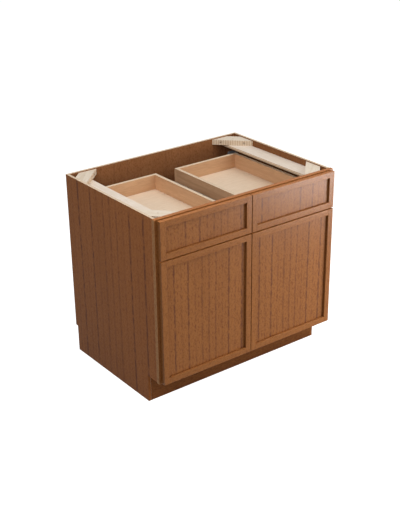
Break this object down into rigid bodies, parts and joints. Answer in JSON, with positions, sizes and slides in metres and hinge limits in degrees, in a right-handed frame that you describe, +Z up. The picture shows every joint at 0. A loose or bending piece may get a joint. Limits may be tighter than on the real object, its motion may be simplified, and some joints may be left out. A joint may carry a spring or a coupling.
{
  "type": "kitchen base cabinet",
  "caption": "Framed kitchen base cabinet with drawers above doors, an adjustable shelf, a recessed toe space and an open, corner-blocked top for a worktop.",
  "frame": {"origin": "on the floor under the middle of the overall box, fronts included", "axes": "+X to the right of a person who faces the doors, +Y to the back wall, +Z up"},
  "size_m": [0.9652, 0.7082, 0.8763],
  "materials": {
    "case_wood": "satin stained veneer",
    "frame_wood": "satin stained wood",
    "front_member_wood": "satin stained wood",
    "front_panel_wood": "satin stained veneer",
    "bracing_wood": "raw plywood",
    "drawer_wood": "clear satin",
    "drawer_bottom_ply": "clear satin",
    "zinc_steel": "zinc plated",
    "screw_steel": "dark zinc",
    "grey_plastic": "matte",
    "clear_bumper": "soft"
  },
  "bodies": {
    "carcass": {"side_panel_left": "case_wood", "side_panel_right": "case_wood", "back_panel": "case_wood", "floor_panel": "case_wood", "toe_board": "case_wood", "frame_stile_left": "frame_wood", "frame_stile_right": "frame_wood", "frame_centre_stile": "frame_wood", "frame_top_rail": "frame_wood", "frame_mid_rail": "frame_wood", "frame_bottom_rail": "frame_wood", "strip_left": "bracing_wood", "strip_right": "bracing_wood", "corner_block_front_left": "bracing_wood", "corner_block_front_right": "bracing_wood", "corner_block_rear_left": "bracing_wood", "corner_block_rear_right": "bracing_wood", "case_screws": "screw_steel", "shelf": "case_wood", "shelf_pins": "zinc_steel", "slide_rails": "zinc_steel", "slide_brackets": "grey_plastic", "hinge_bases": "zinc_steel"},
    "slide_middles_left": {"slide_middles_left": "zinc_steel"},
    "slide_middles_right": {"slide_middles_right": "zinc_steel"},
    "drawer_left": {"drawer_left_box_front": "drawer_wood", "drawer_left_box_back": "drawer_wood", "drawer_left_box_sides": "drawer_wood", "drawer_left_bottom": "drawer_bottom_ply", "drawer_left_runners": "zinc_steel", "drawer_left_clips": "grey_plastic", "drawer_left_front_stiles": "front_member_wood", "drawer_left_front_rails": "front_member_wood", "drawer_left_front_panel": "front_panel_wood", "drawer_left_screws": "screw_steel", "drawer_left_bumpers": "clear_bumper"},
    "drawer_right": {"drawer_right_box_front": "drawer_wood", "drawer_right_box_back": "drawer_wood", "drawer_right_box_sides": "drawer_wood", "drawer_right_bottom": "drawer_bottom_ply", "drawer_right_runners": "zinc_steel", "drawer_right_clips": "grey_plastic", "drawer_right_front_stiles": "front_member_wood", "drawer_right_front_rails": "front_member_wood", "drawer_right_front_panel": "front_panel_wood", "drawer_right_screws": "screw_steel", "drawer_right_bumpers": "clear_bumper"},
    "door_left": {"door_left_stiles": "front_member_wood", "door_left_rails": "front_member_wood", "door_left_panel": "front_panel_wood", "door_left_hinge_cups": "zinc_steel", "door_left_bumpers": "clear_bumper"},
    "door_right": {"door_right_stiles": "front_member_wood", "door_right_rails": "front_member_wood", "door_right_panel": "front_panel_wood", "door_right_hinge_cups": "zinc_steel", "door_right_bumpers": "clear_bumper"},
    "hinge_arms_left": {"hinge_arms_left": "zinc_steel"},
    "hinge_arms_right": {"hinge_arms_right": "zinc_steel"}
  },
  "joints": [
    {"name": "drawer_left_slide", "type": "slide", "parent": "carcass", "child": "drawer_left", "axis": [0, -1, 0], "range_m": [0, 0.55]},
    {"name": "slide_middles_left_slide", "type": "slide", "parent": "carcass", "child": "slide_middles_left", "axis": [0, -1, 0], "range_m": [0, 0.275]},
    {"name": "door_left_hinge", "type": "hinge", "parent": "carcass", "child": "door_left", "pos_m": [-0.4609, -0.34965, 0.41325], "axis": [0, 0, -1], "range_deg": [0, 105]},
    {"name": "hinge_arms_left_pivot", "type": "hinge", "parent": "carcass", "child": "hinge_arms_left", "pos_m": [-0.4246, -0.33235, 0.41325], "axis": [0, 0, 1], "range_deg": [0, 25]},
    {"name": "drawer_right_slide", "type": "slide", "parent": "carcass", "child": "drawer_right", "axis": [0, -1, 0], "range_m": [0, 0.55]},
    {"name": "slide_middles_right_slide", "type": "slide", "parent": "carcass", "child": "slide_middles_right", "axis": [0, -1, 0], "range_m": [0, 0.275]},
    {"name": "door_right_hinge", "type": "hinge", "parent": "carcass", "child": "door_right", "pos_m": [0.4609, -0.34965, 0.41325], "axis": [0, 0, 1], "range_deg": [0, 105]},
    {"name": "hinge_arms_right_pivot", "type": "hinge", "parent": "carcass", "child": "hinge_arms_right", "pos_m": [0.4246, -0.33235, 0.41325], "axis": [0, 0, -1], "range_deg": [0, 25]}
  ],
  "couplings": [
    {"joint": "slide_middles_left_slide", "follows": "drawer_left_slide", "ratio": 0.5},
    {"joint": "hinge_arms_left_pivot", "follows": "door_left_hinge", "ratio": 0.231},
    {"joint": "slide_middles_right_slide", "follows": "drawer_right_slide", "ratio": 0.5},
    {"joint": "hinge_arms_right_pivot", "follows": "door_right_hinge", "ratio": 0.231}
  ]
}
